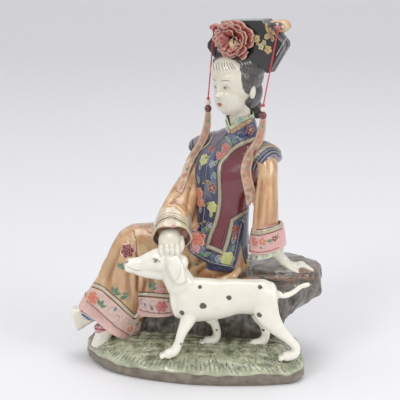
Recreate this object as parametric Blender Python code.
"""A porcelain figurine: a seated court lady on a boulder with her dog, on a grassy base.

The porcelain is one fired piece, so it is one solid. Two thread tassel cords are tied between the ends
of the hairpin and the porcelain streamers that lie over the shoulders.
Free forms are written in millimetres of a figurine DESIGN_HEIGHT tall, and MM turns them into metres.
+X is to the lady's left, -Y is the side that the dog stands on, and the origin is under the base.
"""

from math import cos, pi, radians, sin, tau

import bmesh
import bpy
import numpy as np
from mathutils import Matrix, Vector

# Driving dimensions, in metres
FIGURINE_HEIGHT = 0.308
BASE_WIDTH = 0.190
BASE_DEPTH = 0.128
BASE_RIM_HEIGHT = 0.012
BOARD_WIDTH = 0.079
BOARD_HEIGHT = 0.0445
BOARD_THICKNESS = 0.015
PEONY_RADIUS = 0.0195
KNOB_RADIUS = 0.0023
BEAD_RADIUS = 0.0031
PEARL_RADIUS = 0.0023
THREAD_DIAMETER = 0.0013
THREAD_GAP = 0.0009

# Fineness of the fused porcelain, in metres and triangles
FUSE_VOXEL = 0.00135
PORCELAIN_TRIANGLES = 8600

# Poses, in degrees: a yaw turns a form from the dog's side towards the lady's right
TORSO_YAW = radians(39)
HEAD_YAW = radians(47)
HEAD_ROLL = radians(6)
BOARD_YAW = radians(37)

DESIGN_HEIGHT = 308.0
MM = FIGURINE_HEIGHT / DESIGN_HEIGHT
RING_POINTS = 28
STEPS_PER_SPAN = 5


def smooth(rows, steps=STEPS_PER_SPAN):
    """Rows of numbers read along a Catmull-Rom curve that passes through each of them."""
    rows = np.array(rows, float)
    padded = np.vstack([2 * rows[0] - rows[1], rows, 2 * rows[-1] - rows[-2]])
    out = []
    for i in range(len(rows) - 1):
        a, b, c, d = padded[i : i + 4]
        for t in np.arange(steps) / steps:
            out.append(
                0.5 * (2 * b + (c - a) * t + (2 * a - 5 * b + 4 * c - d) * t**2 + (3 * b - a - 3 * c + d) * t**3)
            )
    out.append(rows[-1])
    return np.array(out)


def unit(v):
    return v / np.maximum(np.linalg.norm(v, axis=-1, keepdims=True), 1e-9)


def grid_mesh(rings):
    """(points, faces) of a closed skin over rings of points, with a pole at each end."""
    count, around, _ = rings.shape
    points = np.vstack([rings.reshape(-1, 3), rings[0].mean(0), rings[-1].mean(0)])
    first, last = count * around, count * around + 1
    faces = []
    for j in range(around):
        k = (j + 1) % around
        faces.append((first, k, j))
        faces.append((last, (count - 1) * around + j, (count - 1) * around + k))
        for i in range(count - 1):
            faces.append((i * around + j, i * around + k, (i + 1) * around + k, (i + 1) * around + j))
    return points, faces


def loft(rows, side=(1, 0, 0), around=RING_POINTS, ends=(1.0, 1.0), folds=None, power=1.0):
    """A closed tube through rows of (x, y, z, half width along side, half depth).

    ends rounds each end by that share of its smaller half size, folds(angle, along) scales the section,
    and a power under 1 squares it.
    """
    s = smooth(rows)
    centre, a, b = s[:, :3], np.maximum(s[:, 3], 0.2), np.maximum(s[:, 4], 0.2)
    tangent = unit(np.gradient(centre, axis=0))
    side = np.array(side, float)
    across = unit(side - (tangent @ side)[:, None] * tangent)
    depth = np.cross(tangent, across)
    angle = np.linspace(0, tau, around, endpoint=False)
    co, si = np.cos(angle), np.sin(angle)
    co, si = np.sign(co) * np.abs(co) ** power, np.sign(si) * np.abs(si) ** power
    along = np.linspace(0, 1, len(centre))
    scale = np.ones((len(centre), around)) if folds is None else folds(angle[None, :], along[:, None])
    rings = (
        centre[:, None]
        + (scale * a[:, None] * co)[..., None] * across[:, None]
        + (scale * b[:, None] * si)[..., None] * depth[:, None]
    )
    cap_angles = radians(30), radians(60), radians(82)
    for at, sign, share in ((0, -1, ends[0]), (-1, 1, ends[1])):
        reach = share * min(a[at], b[at])
        caps = [
            centre[at] + (rings[at] - centre[at]) * cos(t) + sign * tangent[at] * reach * sin(t) for t in cap_angles
        ]
        rings = np.concatenate([np.array(caps[::-1]), rings] if at == 0 else [rings, np.array(caps)])
    return grid_mesh(rings)


def ball(centre, sizes, turn=None, rings=12, around=20):
    """An ellipsoid of three half sizes, turned by a 3 by 3 matrix."""
    lat = np.linspace(-pi / 2, pi / 2, rings + 2)[1:-1]
    lon = np.linspace(0, tau, around, endpoint=False)
    p = np.stack(
        [np.cos(lat)[:, None] * np.cos(lon), np.cos(lat)[:, None] * np.sin(lon), np.sin(lat)[:, None] + 0 * lon], -1
    )
    p = p * np.array(sizes)
    if turn is not None:
        p = p @ np.array(turn).T
    return grid_mesh(p + np.array(centre))


def facing(yaw, roll=0.0, nod=0.0):
    """Columns are a form's own left, front-to-back and up directions, as the yawed, rolled form has them."""
    turn = Matrix.Rotation(-yaw, 3, "Z") @ Matrix.Rotation(-roll, 3, "Y") @ Matrix.Rotation(nod, 3, "X")
    return np.array(turn)


def slab(outline, thickness, centre, turn, thinner=0.0):
    """A flat plate: outline points in its own (left, up), extruded front to back, with eased edges.

    thinner is the share of the thickness that the back loses on the way down to the lowest point.
    """
    flat = np.array(outline, float)
    middle, low, high = flat.mean(0), flat[:, 1].min(), flat[:, 1].max()
    eased, depth = 0.93, thickness / 2
    rings = []
    for y, k in ((-depth, eased), (-0.8 * depth, 1.0), (0.8 * depth, 1.0), (depth, eased)):
        ring = middle + (flat - middle) * k
        drop = thinner * thickness * (high - ring[:, 1]) / (high - low) if y > 0 else 0.0
        rings.append(np.stack([ring[:, 0], y - drop * np.ones(len(ring)), ring[:, 1]], -1))
    return grid_mesh(np.array(rings) @ np.array(turn).T + np.array(centre))


def bumps(p, size, height, seed):
    """Moves points by a smooth sum of sines, so that stone and turf aren't even."""
    rng = np.random.default_rng(seed)
    moved = np.zeros(len(p))
    for _ in range(9):
        wave = unit(rng.normal(size=3)) * rng.uniform(0.6, 1.9) * tau / size
        moved += np.sin(p @ wave + rng.uniform(0, tau))
    return height * moved / 3


def wave(count, depth, start=0.0, phase=0.0):
    """Folds that run along a loft and deepen from start to its end."""
    return lambda angle, along: 1 + depth * np.clip((along - start) / (1 - start), 0, 1) * np.sin(
        count * angle + phase
    )


# The ground

BASE_OUTLINE = [
    (-1.04, 0.26), (-0.98, -0.16), (-0.76, -0.56), (-0.28, -0.88), (0.22, -1.00), (0.76, -0.96), (0.95, -0.80),
    (0.98, -0.30), (0.92, 0.32), (0.62, 0.82), (0.10, 1.00), (-0.52, 0.94), (-0.92, 0.70),
]  # fmt: skip
TURF_RISE = 14.0


def base_edge(count):
    """The base's outline in plan, as shares of its half width and half depth."""
    closed = BASE_OUTLINE[-1:] + BASE_OUTLINE + BASE_OUTLINE[:2]
    curve = smooth(closed, 12)[12:-12]
    pick = np.linspace(0, len(curve) - 1, count + 1)[:-1]
    return np.stack([np.interp(pick, np.arange(len(curve)), curve[:, k]) for k in (0, 1)], -1)


def ground_height(r, y):
    """Height of the turf at a share r of the way out to the edge, in design millimetres."""
    rim = BASE_RIM_HEIGHT / MM
    return rim + TURF_RISE * (1 - r**5) + 0.03 * np.clip(y, -60, 60) * (1 - r)


def ground():
    edge = base_edge(64) * np.array([BASE_WIDTH, BASE_DEPTH]) / 2 / MM
    rings = []
    for z, k in ((-4.0, 0.97), (1.0, 0.98), (0.45 * BASE_RIM_HEIGHT / MM, 1.0), (0.8 * BASE_RIM_HEIGHT / MM, 0.985)):
        rings.append(np.column_stack([edge * k, np.full(len(edge), z)]))
    for k in (0.965, 0.93, 0.88, 0.8, 0.65, 0.45, 0.2):
        ring = edge * k
        rings.append(np.column_stack([ring, ground_height(k, ring[:, 1])]))
    points, faces = grid_mesh(np.array(rings))
    low = points[:, 2] < 2
    points[:, 2] += np.where(low, 0, bumps(points, 34, 0.7, 3))
    return points, faces


def boulder():
    """The seat: a stone lump, undercut where it leans out over the base's right-hand edge."""
    points, faces = loft(
        [
            (-58, 18, 24, 12, 10), (-40, 18, 30, 22, 20), (-14, 18, 42, 36, 28), (15, 18, 48, 41, 36),
            (42, 18, 50, 42, 38),
            (64, 17, 57, 37, 36), (80, 15, 72, 23, 33), (94, 12, 74, 20.5, 28), (104, 10, 75.5, 14.5, 19),
        ],
        side=(0, 0, 1), around=40, ends=(0.45, 0.45), power=0.85,
    )  # fmt: skip
    out = unit(points - points.mean(0))
    points = points + out * bumps(points, 44, 1.8, 11)[:, None]
    reach = np.interp(points[:, 2], (38, 47, 50, 57, 64), (75, 78, 88, 98, 120))
    points[:, 0] = np.minimum(points[:, 0], reach)
    return points, faces


# The lady

def torso():
    """The waistcoat, from its hem on the lap to the base of the neck, with the far shoulder held lower."""
    left = facing(TORSO_YAW)[:, 0]
    points, faces = loft(
        [
            (18, 8, 87, 32, 25), (18, 8, 100, 31.5, 23.5), (18.3, 9, 116, 30.5, 22), (19.5, 10, 131, 28.5, 20),
            (21, 10, 148, 28, 19.5), (23.3, 9.5, 162, 30.5, 20), (27, 9.5, 172, 35, 20), (30.5, 9.5, 180, 39.5, 18),
            (33, 9.5, 187, 41, 15.5), (34.5, 9.5, 193, 36, 14), (36, 9, 198, 26, 13.5), (37, 8.5, 203, 15, 13),
        ],
        side=left, around=36, ends=(0.2, 0.2), power=0.92,
    )  # fmt: skip
    points[:, 2] += 0.1 * (points @ left - 20) * np.clip((points[:, 2] - 162) / 25, 0, 1)
    return points, faces


def shoulder_caps():
    """The waistcoat's armholes, which stand out over the tops of the sleeves."""
    near = [(48.5, 0, 198, 7, 5), (54, -6, 196, 12, 7), (60, -12.5, 192.5, 14.5, 7.5), (64, -17, 187.5, 12.5, 6.5)]
    far = [(16, 24, 194, 7, 5), (10.5, 28, 193, 10, 6.5), (3.5, 33, 190.5, 11, 7.5), (0, 36, 186.5, 10, 6)]
    return [loft(rows, side=facing(TORSO_YAW)[:, 1], around=24, ends=(0.5, 0.35)) for rows in (near, far)]


def neck():
    collar = loft([(39.8, 10, 195, 15.5, 14.5), (38.8, 8.6, 206, 14.8, 13.8), (36.8, 5.6, 218.5, 13.6, 12.8)],
                  ends=(0.3, 0.12))  # fmt: skip
    return [collar, loft([(38, 7, 212, 10, 10), (36.5, 5, 224, 9.6, 9.6), (35, 4, 234, 9.6, 9.6)])]


def on_head(left, back, up):
    """A point of the rolled and turned head, from its own left, back and up."""
    centre = np.array([32.0, 3.0, 248.5])
    return centre + facing(HEAD_YAW, HEAD_ROLL) @ np.array([left, back, up], float)


def head():
    turn = facing(HEAD_YAW, HEAD_ROLL)
    return [
        ball(on_head(0, 1.5, 4), (18.2, 20.5, 20.5), turn),
        ball(on_head(0, -6, -7.8), (13.6, 13.2, 15), turn),
        ball(on_head(0, -19.2, -5.5), (2.1, 2.6, 4.2), turn, 6, 10),
        ball(on_head(0, -16.5, -14.5), (3.6, 2.4, 2.0), turn, 6, 10),
        ball(on_head(18, 3.5, -4), (1.8, 3.8, 6.0), turn, 6, 10),
        ball(on_head(-18, 3.5, -4), (1.8, 3.8, 6.0), turn, 6, 10),
    ]


def hair():
    turn = facing(HEAD_YAW, HEAD_ROLL)
    return [
        ball(on_head(0, 7.5, 8.5), (20.4, 20.5, 19.0), turn),
        ball(on_head(0, 11, -6), (16.4, 15.5, 17), turn),
        ball(on_head(-2, -2, 18.5), (17, 16, 9.5), turn),
        loft(
            [on_head_row(0, 18, -14, 9, 7), on_head_row(0, 21.5, -22, 8.5, 5), on_head_row(0, 25, -29.5, 7, 3)],
            side=turn[:, 0],
        ),
    ]


def on_head_row(left, back, up, a, b):
    return [*on_head(left, back, up), a, b]


BOARD_SHAPE = [(-0.50, 1), (0.50, 1), (0.985, 0.16), (1.0, -0.02), (0.62, -0.96), (0.52, -1), (0.30, -0.66),
               (-0.30, -0.66), (-0.52, -1), (-0.62, -0.96), (-1.0, -0.02), (-0.985, 0.16)]  # fmt: skip


def on_board(left, back, up):
    """A point of the headdress board, from its own left, back and up."""
    centre = np.array([44.4, 1.0, 283.0])
    return centre + facing(BOARD_YAW, HEAD_ROLL) @ np.array([left, back, up], float)


def headdress():
    turn = facing(BOARD_YAW, HEAD_ROLL)
    half = np.array([BOARD_WIDTH / 2, BOARD_HEIGHT / 2]) / MM
    plate = slab(np.array(BOARD_SHAPE) * half, BOARD_THICKNESS / MM, on_board(0, 0, 0), turn, 0.5)
    stem = ball(on_board(-3, 1, -17), (17, 13, 12), turn)
    return [plate, stem, *hairpin(), *peony()]


def hairpin():
    """The flat pin through the board, whose ends curl up past it, and the knob at each end for a cord."""
    turn = facing(BOARD_YAW, HEAD_ROLL)
    reach = BOARD_WIDTH / 2 / MM - 8
    back, up = 2, 13.5
    parts = []
    for sign, sizes in ((-1, (4.5, 4, 4.5)), (1, (8, 4.2, 6.2))):
        parts.append(ball(on_board(sign * (reach + 2), back, up + 2), sizes, turn, 8, 14))
        inner, outer = on_board(sign * (reach - 12), back, up), on_board(sign * (reach + 3), back, up)
        parts.append(loft([[*inner, 3, 3], [*outer, 3, 3]], side=turn[:, 2], around=12))
    for side in ("near", "far"):
        knob = knob_centre(side)
        parts.append(ball(knob, (KNOB_RADIUS / MM,) * 3, rings=8, around=12))
        inward = (-1 if side == "near" else 1) * 4 * turn[:, 0] + 3 * turn[:, 1]
        parts.append(loft([[*(knob + inward), 1.6, 1.6], [*knob, 1.6, 1.6]], side=turn[:, 2], around=10))
    return parts


def knob_centre(side):
    """Where a cord is tied: just in front of the board, near its upper corners."""
    half_width, half_height = BOARD_WIDTH / 2 / MM, BOARD_HEIGHT / 2 / MM
    left, up = (half_width - 3, half_height - 6.25) if side == "near" else (10.5 - half_width, half_height - 4.75)
    return on_board(left, -BOARD_THICKNESS / 2 / MM - 1.8, up)


def peony():
    """The modelled flower on the board's front: a ring of cupped petals round a heart."""
    turn = facing(BOARD_YAW, HEAD_ROLL)
    r = PEONY_RADIUS / MM
    front = -BOARD_THICKNESS / 2 / MM
    middle = (-8.5, 6.5)
    parts = [ball(on_board(middle[0], front - 2.5, middle[1]), (0.62 * r, 5.5, 0.56 * r), turn)]
    for k in range(9):
        at = k * tau / 9
        left, up = middle[0] + 0.62 * r * cos(at), middle[1] + 0.52 * r * sin(at)
        spin = turn @ np.array(Matrix.Rotation(-at, 3, "Y")) @ np.array(Matrix.Rotation(radians(24), 3, "Z"))
        parts.append(ball(on_board(left, front - 2.6, up), (0.42 * r, 2.4, 0.34 * r), spin, 8, 12))
    return parts


def near_arm():
    """The lady's left arm: a straight sleeve, its cuff, and the hand laid on the stone."""
    sleeve = loft(
        [
            (57, -12, 189, 9, 10), (59.8, -18, 184, 8.6, 10), (59.8, -23, 170, 8.8, 9.8), (58.9, -26, 152, 10.2, 10.2),
            (58.5, -27, 135, 11.1, 10.6), (58.5, -27.5, 130, 11.6, 10.8),
        ],
        folds=wave(3, 0.05, 0.2),
    )  # fmt: skip
    cuff = loft([(60.2, -27.5, 133, 13.2, 11.8), (60.1, -27, 122, 15, 12.3), (60.4, -26, 113.5, 15.8, 12.4)],
                side=(1, 0, 0.25), ends=(0.25, 0.3))  # fmt: skip
    wrist = loft([(64, -25, 114, 8, 7), (70, -25, 106, 5, 4.6), (75, -25, 100.5, 4.6, 4.2)])
    palm = loft([(74, -25, 101, 5, 4.2), (80, -26, 97, 6.2, 3.6), (86, -27, 96, 6, 3)], side=(0, 1, 0))
    parts = [sleeve, cuff, wrist, palm]
    for k in range(4):
        y = -30.5 + 2.9 * k
        reach = (2.5, 1.5, 0.5, -2.0)[k]
        parts.append(loft([(85, y, 96.4, 1.7, 1.7), (91, y - 0.6, 98, 1.5, 1.5), (97 + reach, y - 1.6, 94.5, 1.2, 1.2)],
                          side=(0, 1, 0), around=10))  # fmt: skip
    parts.append(loft([(77, -30, 98, 1.8, 1.8), (82, -33, 95.5, 1.5, 1.5), (87, -34, 93.6, 1.2, 1.2)],
                      side=(0, 1, 0), around=10))  # fmt: skip
    return parts


def far_arm():
    """The lady's right arm: a wide sleeve that comes forward to the hand on the dog's head."""
    sleeve = loft(
        [
            (9, 33, 187, 8.5, 9), (6, 31, 179, 9.5, 10), (1, 25, 167, 11.3, 11.2), (-8.5, 15, 153, 13.2, 13),
            (-15.3, 3, 142, 14.5, 13.5), (-19.8, -9, 133.5, 15.6, 14.5), (-21.3, -20, 126.5, 16.8, 15.6),
            (-21.5, -27, 122, 17.4, 16.2),
        ],
        folds=wave(3, 0.05, 0.2), ends=(1, 0.15),
    )  # fmt: skip
    hanging = loft([(2, 18, 150, 9, 12), (-6, 14, 134, 13, 15), (-10, 8, 122, 15, 17)], side=(1, 0, 0), ends=(0.8, 0.5))
    hand = loft([(-22, -20, 127, 6.5, 5.6), (-22.5, -29, 124, 8.6, 6.4), (-22, -36, 121, 9.6, 6),
                 (-20.5, -42, 115.5, 8.6, 4.4)])  # fmt: skip
    parts = [sleeve, hanging, hand]
    for k in range(4):
        x = -29 + 4.1 * k
        rows = [(x, -40, 119, 2.3, 2.3), (x + 0.6, -46, 115.5, 2.1, 2.1), (x + 1.6, -50.5, 109, 1.7, 1.7)]
        parts.append(loft(rows, around=10))
    return parts


def robe():
    """The long robe: over the thighs to the knees, then down to a slanting hem."""
    lap = loft(
        [
            (49, 14, 85, 17, 7), (42, 13, 89, 23, 12.5), (32, 12, 94, 26, 17), (16, 11, 100, 26.5, 20.5),
            (0, 10, 103, 25, 22), (-20, 8, 104, 24.5, 22), (-38, 6, 103.5, 23.5, 21.2), (-53, 4, 103.5, 21.5, 21.3),
        ],
        side=(0, 1, 0), around=36, ends=(0.5, 0.85),
    )  # fmt: skip
    shin = loft(
        [
            (-48, 3, 103, 25.5, 20.5), (-53.5, 2, 92, 25, 20), (-60.5, 2, 78, 24.5, 19.5), (-67.5, 2, 62.5, 26, 19),
            (-76, 3, 46.5, 28, 20), (-79.5, 3, 39.2, 28.4, 20.5),
        ],
        side=(0.775, 0, -0.63), around=40, ends=(0.9, 0.12), folds=wave(5, 0.05, 0.15, 0.8),
    )  # fmt: skip
    back_panel = loft(
        [
            (-34, 6, 104, 20, 20), (-36, 5, 90, 22, 19), (-38, 4, 72, 23, 18), (-38, 4, 55, 24, 18),
            (-38, 4, 45, 25, 18.5),
        ],
        around=36, ends=(0.8, 0.12), folds=wave(5, 0.04, 0.2, 2.0),
    )  # fmt: skip
    front_fall = loft(
        [(10, 2, 100, 22, 16), (8, -3, 88, 24, 13), (2, -6, 70, 26, 10), (-4, -8, 52, 24, 8)],
        around=32, ends=(0.6, 0.2), folds=wave(6, 0.04, 0.1),
    )  # fmt: skip
    return [lap, shin, back_panel, front_fall]


def shoes():
    """Two raised court shoes: a slipper on a waisted block, one held out and one on the turf."""
    raised = loft([(-79, 4, 46, 7, 9), (-88, 6, 43, 7, 8.6), (-97, 8, 40, 6, 7.4)], side=(0.5, 0, 0.8))
    raised_block = loft([(-94, 8, 42, 7.5, 7.5), (-101, 9, 38, 7, 7), (-109, 10, 34, 11.5, 9)],
                        side=(-0.5, 0, 0.85), ends=(0.3, 0.08), power=0.8)  # fmt: skip
    planted = loft([(-72, -1, 36, 7, 8), (-80, -1, 31, 6.5, 7.6), (-88, -2, 27.5, 5, 6.5)], side=(0.5, 0, 0.8))
    planted_block = loft([(-82, -1, 29, 7, 7), (-85, -2, 22, 6.2, 6.2), (-86, -2, 13, 8.5, 8.5)], ends=(0.3, 0.1),
                         power=0.8)  # fmt: skip
    return [raised, raised_block, planted, planted_block]


def streamer_rows(side):
    """A streamer's rows run down from its bead to where it ends on the robe."""
    if side == "near":
        return [
            (55.6, -19, 226.5, 2.6, 2.6), (55.4, -19, 220, 3.6, 2.4), (54, -19, 212, 4.4, 2.4),
            (51.8, -18.5, 204.5, 4.8, 2.6), (48.4, -17.5, 198.5, 5, 2.8), (45.1, -17.2, 192.5, 5.3, 2.8),
            (42.6, -18.8, 185.6, 5.5, 2.6), (41.7, -20.4, 179.6, 5.6, 2.6), (42.6, -21.6, 172.6, 5.7, 2.6),
            (44.4, -21, 165.5, 5.8, 2.6), (46, -20, 158.4, 6, 2.6), (46.8, -19.5, 153, 6, 2.4),
        ]  # fmt: skip
    return [
        (9.6, 14, 225.5, 2.6, 2.6), (9.4, 14.5, 217.5, 3.4, 2.4), (8.6, 15, 210, 3.9, 2.4), (6, 16, 200.5, 4.2, 2.6),
        (1.7, 17, 191.8, 4.3, 2.8), (-3, 19, 183.5, 4.3, 2.8), (-6.8, 17, 176.6, 4.2, 2.8), (-9.8, 12, 169.8, 4, 2.6),
        (-12.4, 5.5, 162.5, 3.8, 2.6), (-15.6, -2, 155.5, 3.4, 2.4),
    ]  # fmt: skip


def beads(side):
    """Centres and radii of the dark bead on a streamer and the pearl on that bead, a little sunk together."""
    top = np.array(streamer_rows(side)[0][:3])
    bead, pearl = BEAD_RADIUS / MM, PEARL_RADIUS / MM
    low = top + np.array([0, 0, 0.2 * bead])
    return [(low, bead), (low + np.array([0, 0, 1.05 * (bead + pearl)]), pearl)]


def streamers():
    """A porcelain ribbon over each shoulder, hung from a dark bead and a pearl."""
    parts = []
    for side in ("near", "far"):
        parts.append(loft(streamer_rows(side), around=16, ends=(0.5, 0.3)))
        parts += [ball(centre, (r, r, 1.15 * r), rings=8, around=12) for centre, r in beads(side)]
    return parts


# The dog

def dog():
    """A standing hound in profile, with its tail held out."""
    y = -42.0
    trunk = loft(
        [
            (-19, y, 70, 15, 8.5), (-10, y, 71, 20, 12), (4, y, 71.5, 19.5, 13), (18, y, 72, 18, 12.5),
            (32, y, 74, 16, 11), (44, y, 74, 15.5, 11), (56, y, 73, 16.5, 12.5), (64, y, 73, 14, 11),
        ],
        side=(0, 0, 1), ends=(0.5, 0.5),
    )  # fmt: skip
    neck_part = loft(
        [(-6, y, 74, 15, 10.5), (-13, y, 84, 13, 9.5), (-19, y, 95, 12, 9), (-24, y, 104, 11.5, 9)],
        side=(1, 0, 0.6),
    )
    skull = loft(
        [
            (-14, y, 104, 8, 7.5), (-23, y, 106.5, 11.5, 9), (-32, y, 106.5, 11.2, 9), (-39, y, 105, 9.4, 7.5),
            (-47, y, 103, 7.4, 5.8), (-55, y, 102.6, 6.2, 4.8), (-59, y, 103, 4.8, 4.0),
        ],
        side=(0, 0, 1), ends=(0.9, 0.7),
    )  # fmt: skip
    parts = [trunk, neck_part, skull]
    for sign in (-1, 1):
        parts.append(loft([(-20, y + sign * 8, 111, 5, 2), (-17, y + sign * 10, 102, 6.5, 2),
                           (-14, y + sign * 10, 91, 4.5, 1.6)], around=14))  # fmt: skip
    legs = (
        [(-4, y - 5, 66, 9, 6.5), (-8, y - 7, 55, 6.5, 5), (-12.5, y - 7.5, 45, 4.6, 4), (-16, y - 7.5, 34.5, 3.8, 3.6),
         (-19.5, y - 7.5, 27.5, 4.6, 4.4), (-25, y - 7.5, 24.5, 4.4, 4.6)],
        [(4, y + 6, 64, 8, 6), (9, y + 9, 53, 5, 4.6), (15, y + 13, 45, 4, 3.8), (17.5, y + 16, 34, 3.6, 3.4),
         (15, y + 17, 28, 4.2, 4.2), (9, y + 17, 26, 4.4, 4.4)],
        [(57, y - 6, 70, 12, 7), (61, y - 8, 59, 10, 6), (68, y - 8.5, 49, 7, 4.8), (77, y - 8.5, 40, 4.6, 3.6),
         (84.5, y - 8, 31.5, 3.9, 3.7), (83.5, y - 8, 25, 4.4, 4.6), (77, y - 8, 22.5, 4.6, 4.8)],
        [(56, y + 6, 66, 10, 6), (54, y + 9, 54, 7, 5), (58, y + 12, 44, 4.4, 4), (60, y + 14, 34, 3.8, 3.6),
         (57, y + 15, 27, 4.4, 4.4), (50, y + 15, 24.5, 4.4, 4.6)],
    )  # fmt: skip
    parts += [loft(rows, around=18, ends=(1, 0.9)) for rows in legs]
    tail = [(62, y, 80, 4.4, 4.4), (69, y + 1, 76, 3.2, 3.2), (76, y + 3, 74, 2.6, 2.6), (83, y + 5, 76.5, 2.3, 2.3),
            (89, y + 7, 80.5, 2.1, 2.1), (95, y + 8, 82, 2.2, 2.2)]  # fmt: skip
    parts.append(loft(tail, around=12, side=(0, 1, 0)))
    return parts


# Making the objects

GLAZES = {
    "porcelain": ((0.72, 0.62, 0.50, 1), 0.15),
    "thread": ((0.72, 0.05, 0.06, 1), 0.6),
}


def glaze(obj, name):
    colour, roughness = GLAZES[name]
    material = bpy.data.materials.get(name) or bpy.data.materials.new(name)
    material.use_nodes = True
    shader = material.node_tree.nodes["Principled BSDF"]
    shader.inputs["Base Color"].default_value = colour
    shader.inputs["Roughness"].default_value = roughness
    shader.inputs["Metallic"].default_value = 0.0
    obj.data.materials.clear()
    obj.data.materials.append(material)


def new_object(name, mesh):
    obj = bpy.data.objects.new(name, mesh)
    bpy.context.scene.collection.objects.link(obj)
    return obj


def joined(forms):
    """One mesh in metres that holds every form's skin."""
    points, faces, start = [], [], 0
    for p, f in forms:
        points.append(p * MM)
        faces += [tuple(i + start for i in face) for face in f]
        start += len(p)
    mesh = bpy.data.meshes.new("forms")
    mesh.from_pydata(np.vstack(points).tolist(), [], faces)
    return mesh


def evaluated_mesh(obj):
    graph = bpy.context.evaluated_depsgraph_get()
    return bpy.data.meshes.new_from_object(obj.evaluated_get(graph))


def fused(name, forms):
    """All forms run together as wet clay is, thinned to PORCELAIN_TRIANGLES and cut flat underneath."""
    obj = new_object(name, joined(forms))
    remesh = obj.modifiers.new("fuse", "REMESH")
    remesh.mode = "VOXEL"
    remesh.voxel_size = FUSE_VOXEL
    soften = obj.modifiers.new("soften", "SMOOTH")
    soften.factor = 0.5
    soften.iterations = 2
    obj.data = evaluated_mesh(obj)
    obj.modifiers.clear()
    thin = obj.modifiers.new("thin", "DECIMATE")
    thin.ratio = PORCELAIN_TRIANGLES / sum(len(p.vertices) - 2 for p in obj.data.polygons)
    obj.data = evaluated_mesh(obj)
    obj.modifiers.clear()
    cut_flat(obj.data)
    return obj


def cut_flat(mesh):
    """Takes off what lies under z = 0 and closes the underside with one flat face."""
    bm = bmesh.new()
    bm.from_mesh(mesh)
    everything = bm.verts[:] + bm.edges[:] + bm.faces[:]
    cut = bmesh.ops.bisect_plane(bm, geom=everything, dist=1e-6, plane_co=(0, 0, 0), plane_no=(0, 0, 1), clear_inner=True)
    rim = [e for e in cut["geom_cut"] if isinstance(e, bmesh.types.BMEdge)]
    bmesh.ops.contextual_create(bm, geom=rim)
    islands = largest_island(bm)
    bmesh.ops.delete(bm, geom=islands, context="VERTS")
    bmesh.ops.triangulate(bm, faces=bm.faces[:])
    bmesh.ops.recalc_face_normals(bm, faces=bm.faces[:])
    bm.to_mesh(mesh)
    bm.free()


def largest_island(bm):
    """The vertices that aren't connected to the largest piece."""
    left, groups = set(bm.verts), []
    while left:
        stack = [left.pop()]
        group = set(stack)
        while stack:
            for edge in stack.pop().link_edges:
                for v in edge.verts:
                    if v in left:
                        left.discard(v)
                        group.add(v)
                        stack.append(v)
        groups.append(group)
    groups.sort(key=len)
    return [v for group in groups[:-1] for v in group]


def thread(name, top, bottom):
    """A taut cord between two points in design millimetres, kept clear of what it is tied to."""
    a, b = Vector(top) * MM, Vector(bottom) * MM
    inset = (b - a).normalized() * THREAD_GAP
    curve = bpy.data.curves.new(name, "CURVE")
    curve.dimensions = "3D"
    spline = curve.splines.new("POLY")
    count = 24
    spline.points.add(count - 1)
    for k, point in enumerate(spline.points):
        place = (a + inset).lerp(b - inset, k / (count - 1))
        point.co = (*place, 1)
    curve.bevel_depth = THREAD_DIAMETER / 2
    curve.bevel_resolution = 2
    curve.use_fill_caps = True
    return new_object(name, curve)


def main():
    for obj in list(bpy.data.objects):
        bpy.data.objects.remove(obj)
    lady = [torso(), *shoulder_caps(), *neck(), *head(), *hair(), *headdress(), *near_arm(), *far_arm(), *robe(), *shoes()]
    porcelain = fused("porcelain_lady_and_dog", [ground(), boulder(), *lady, *streamers(), *dog()])
    glaze(porcelain, "porcelain")
    for side in ("near", "far"):
        pearl, r = beads(side)[-1]
        knob_foot = knob_centre(side) - np.array([0, 0, KNOB_RADIUS / MM])
        cord = thread(f"{side}_red_thread", knob_foot, pearl + np.array([0, 0, 1.15 * r]))
        glaze(cord, "thread")


main()
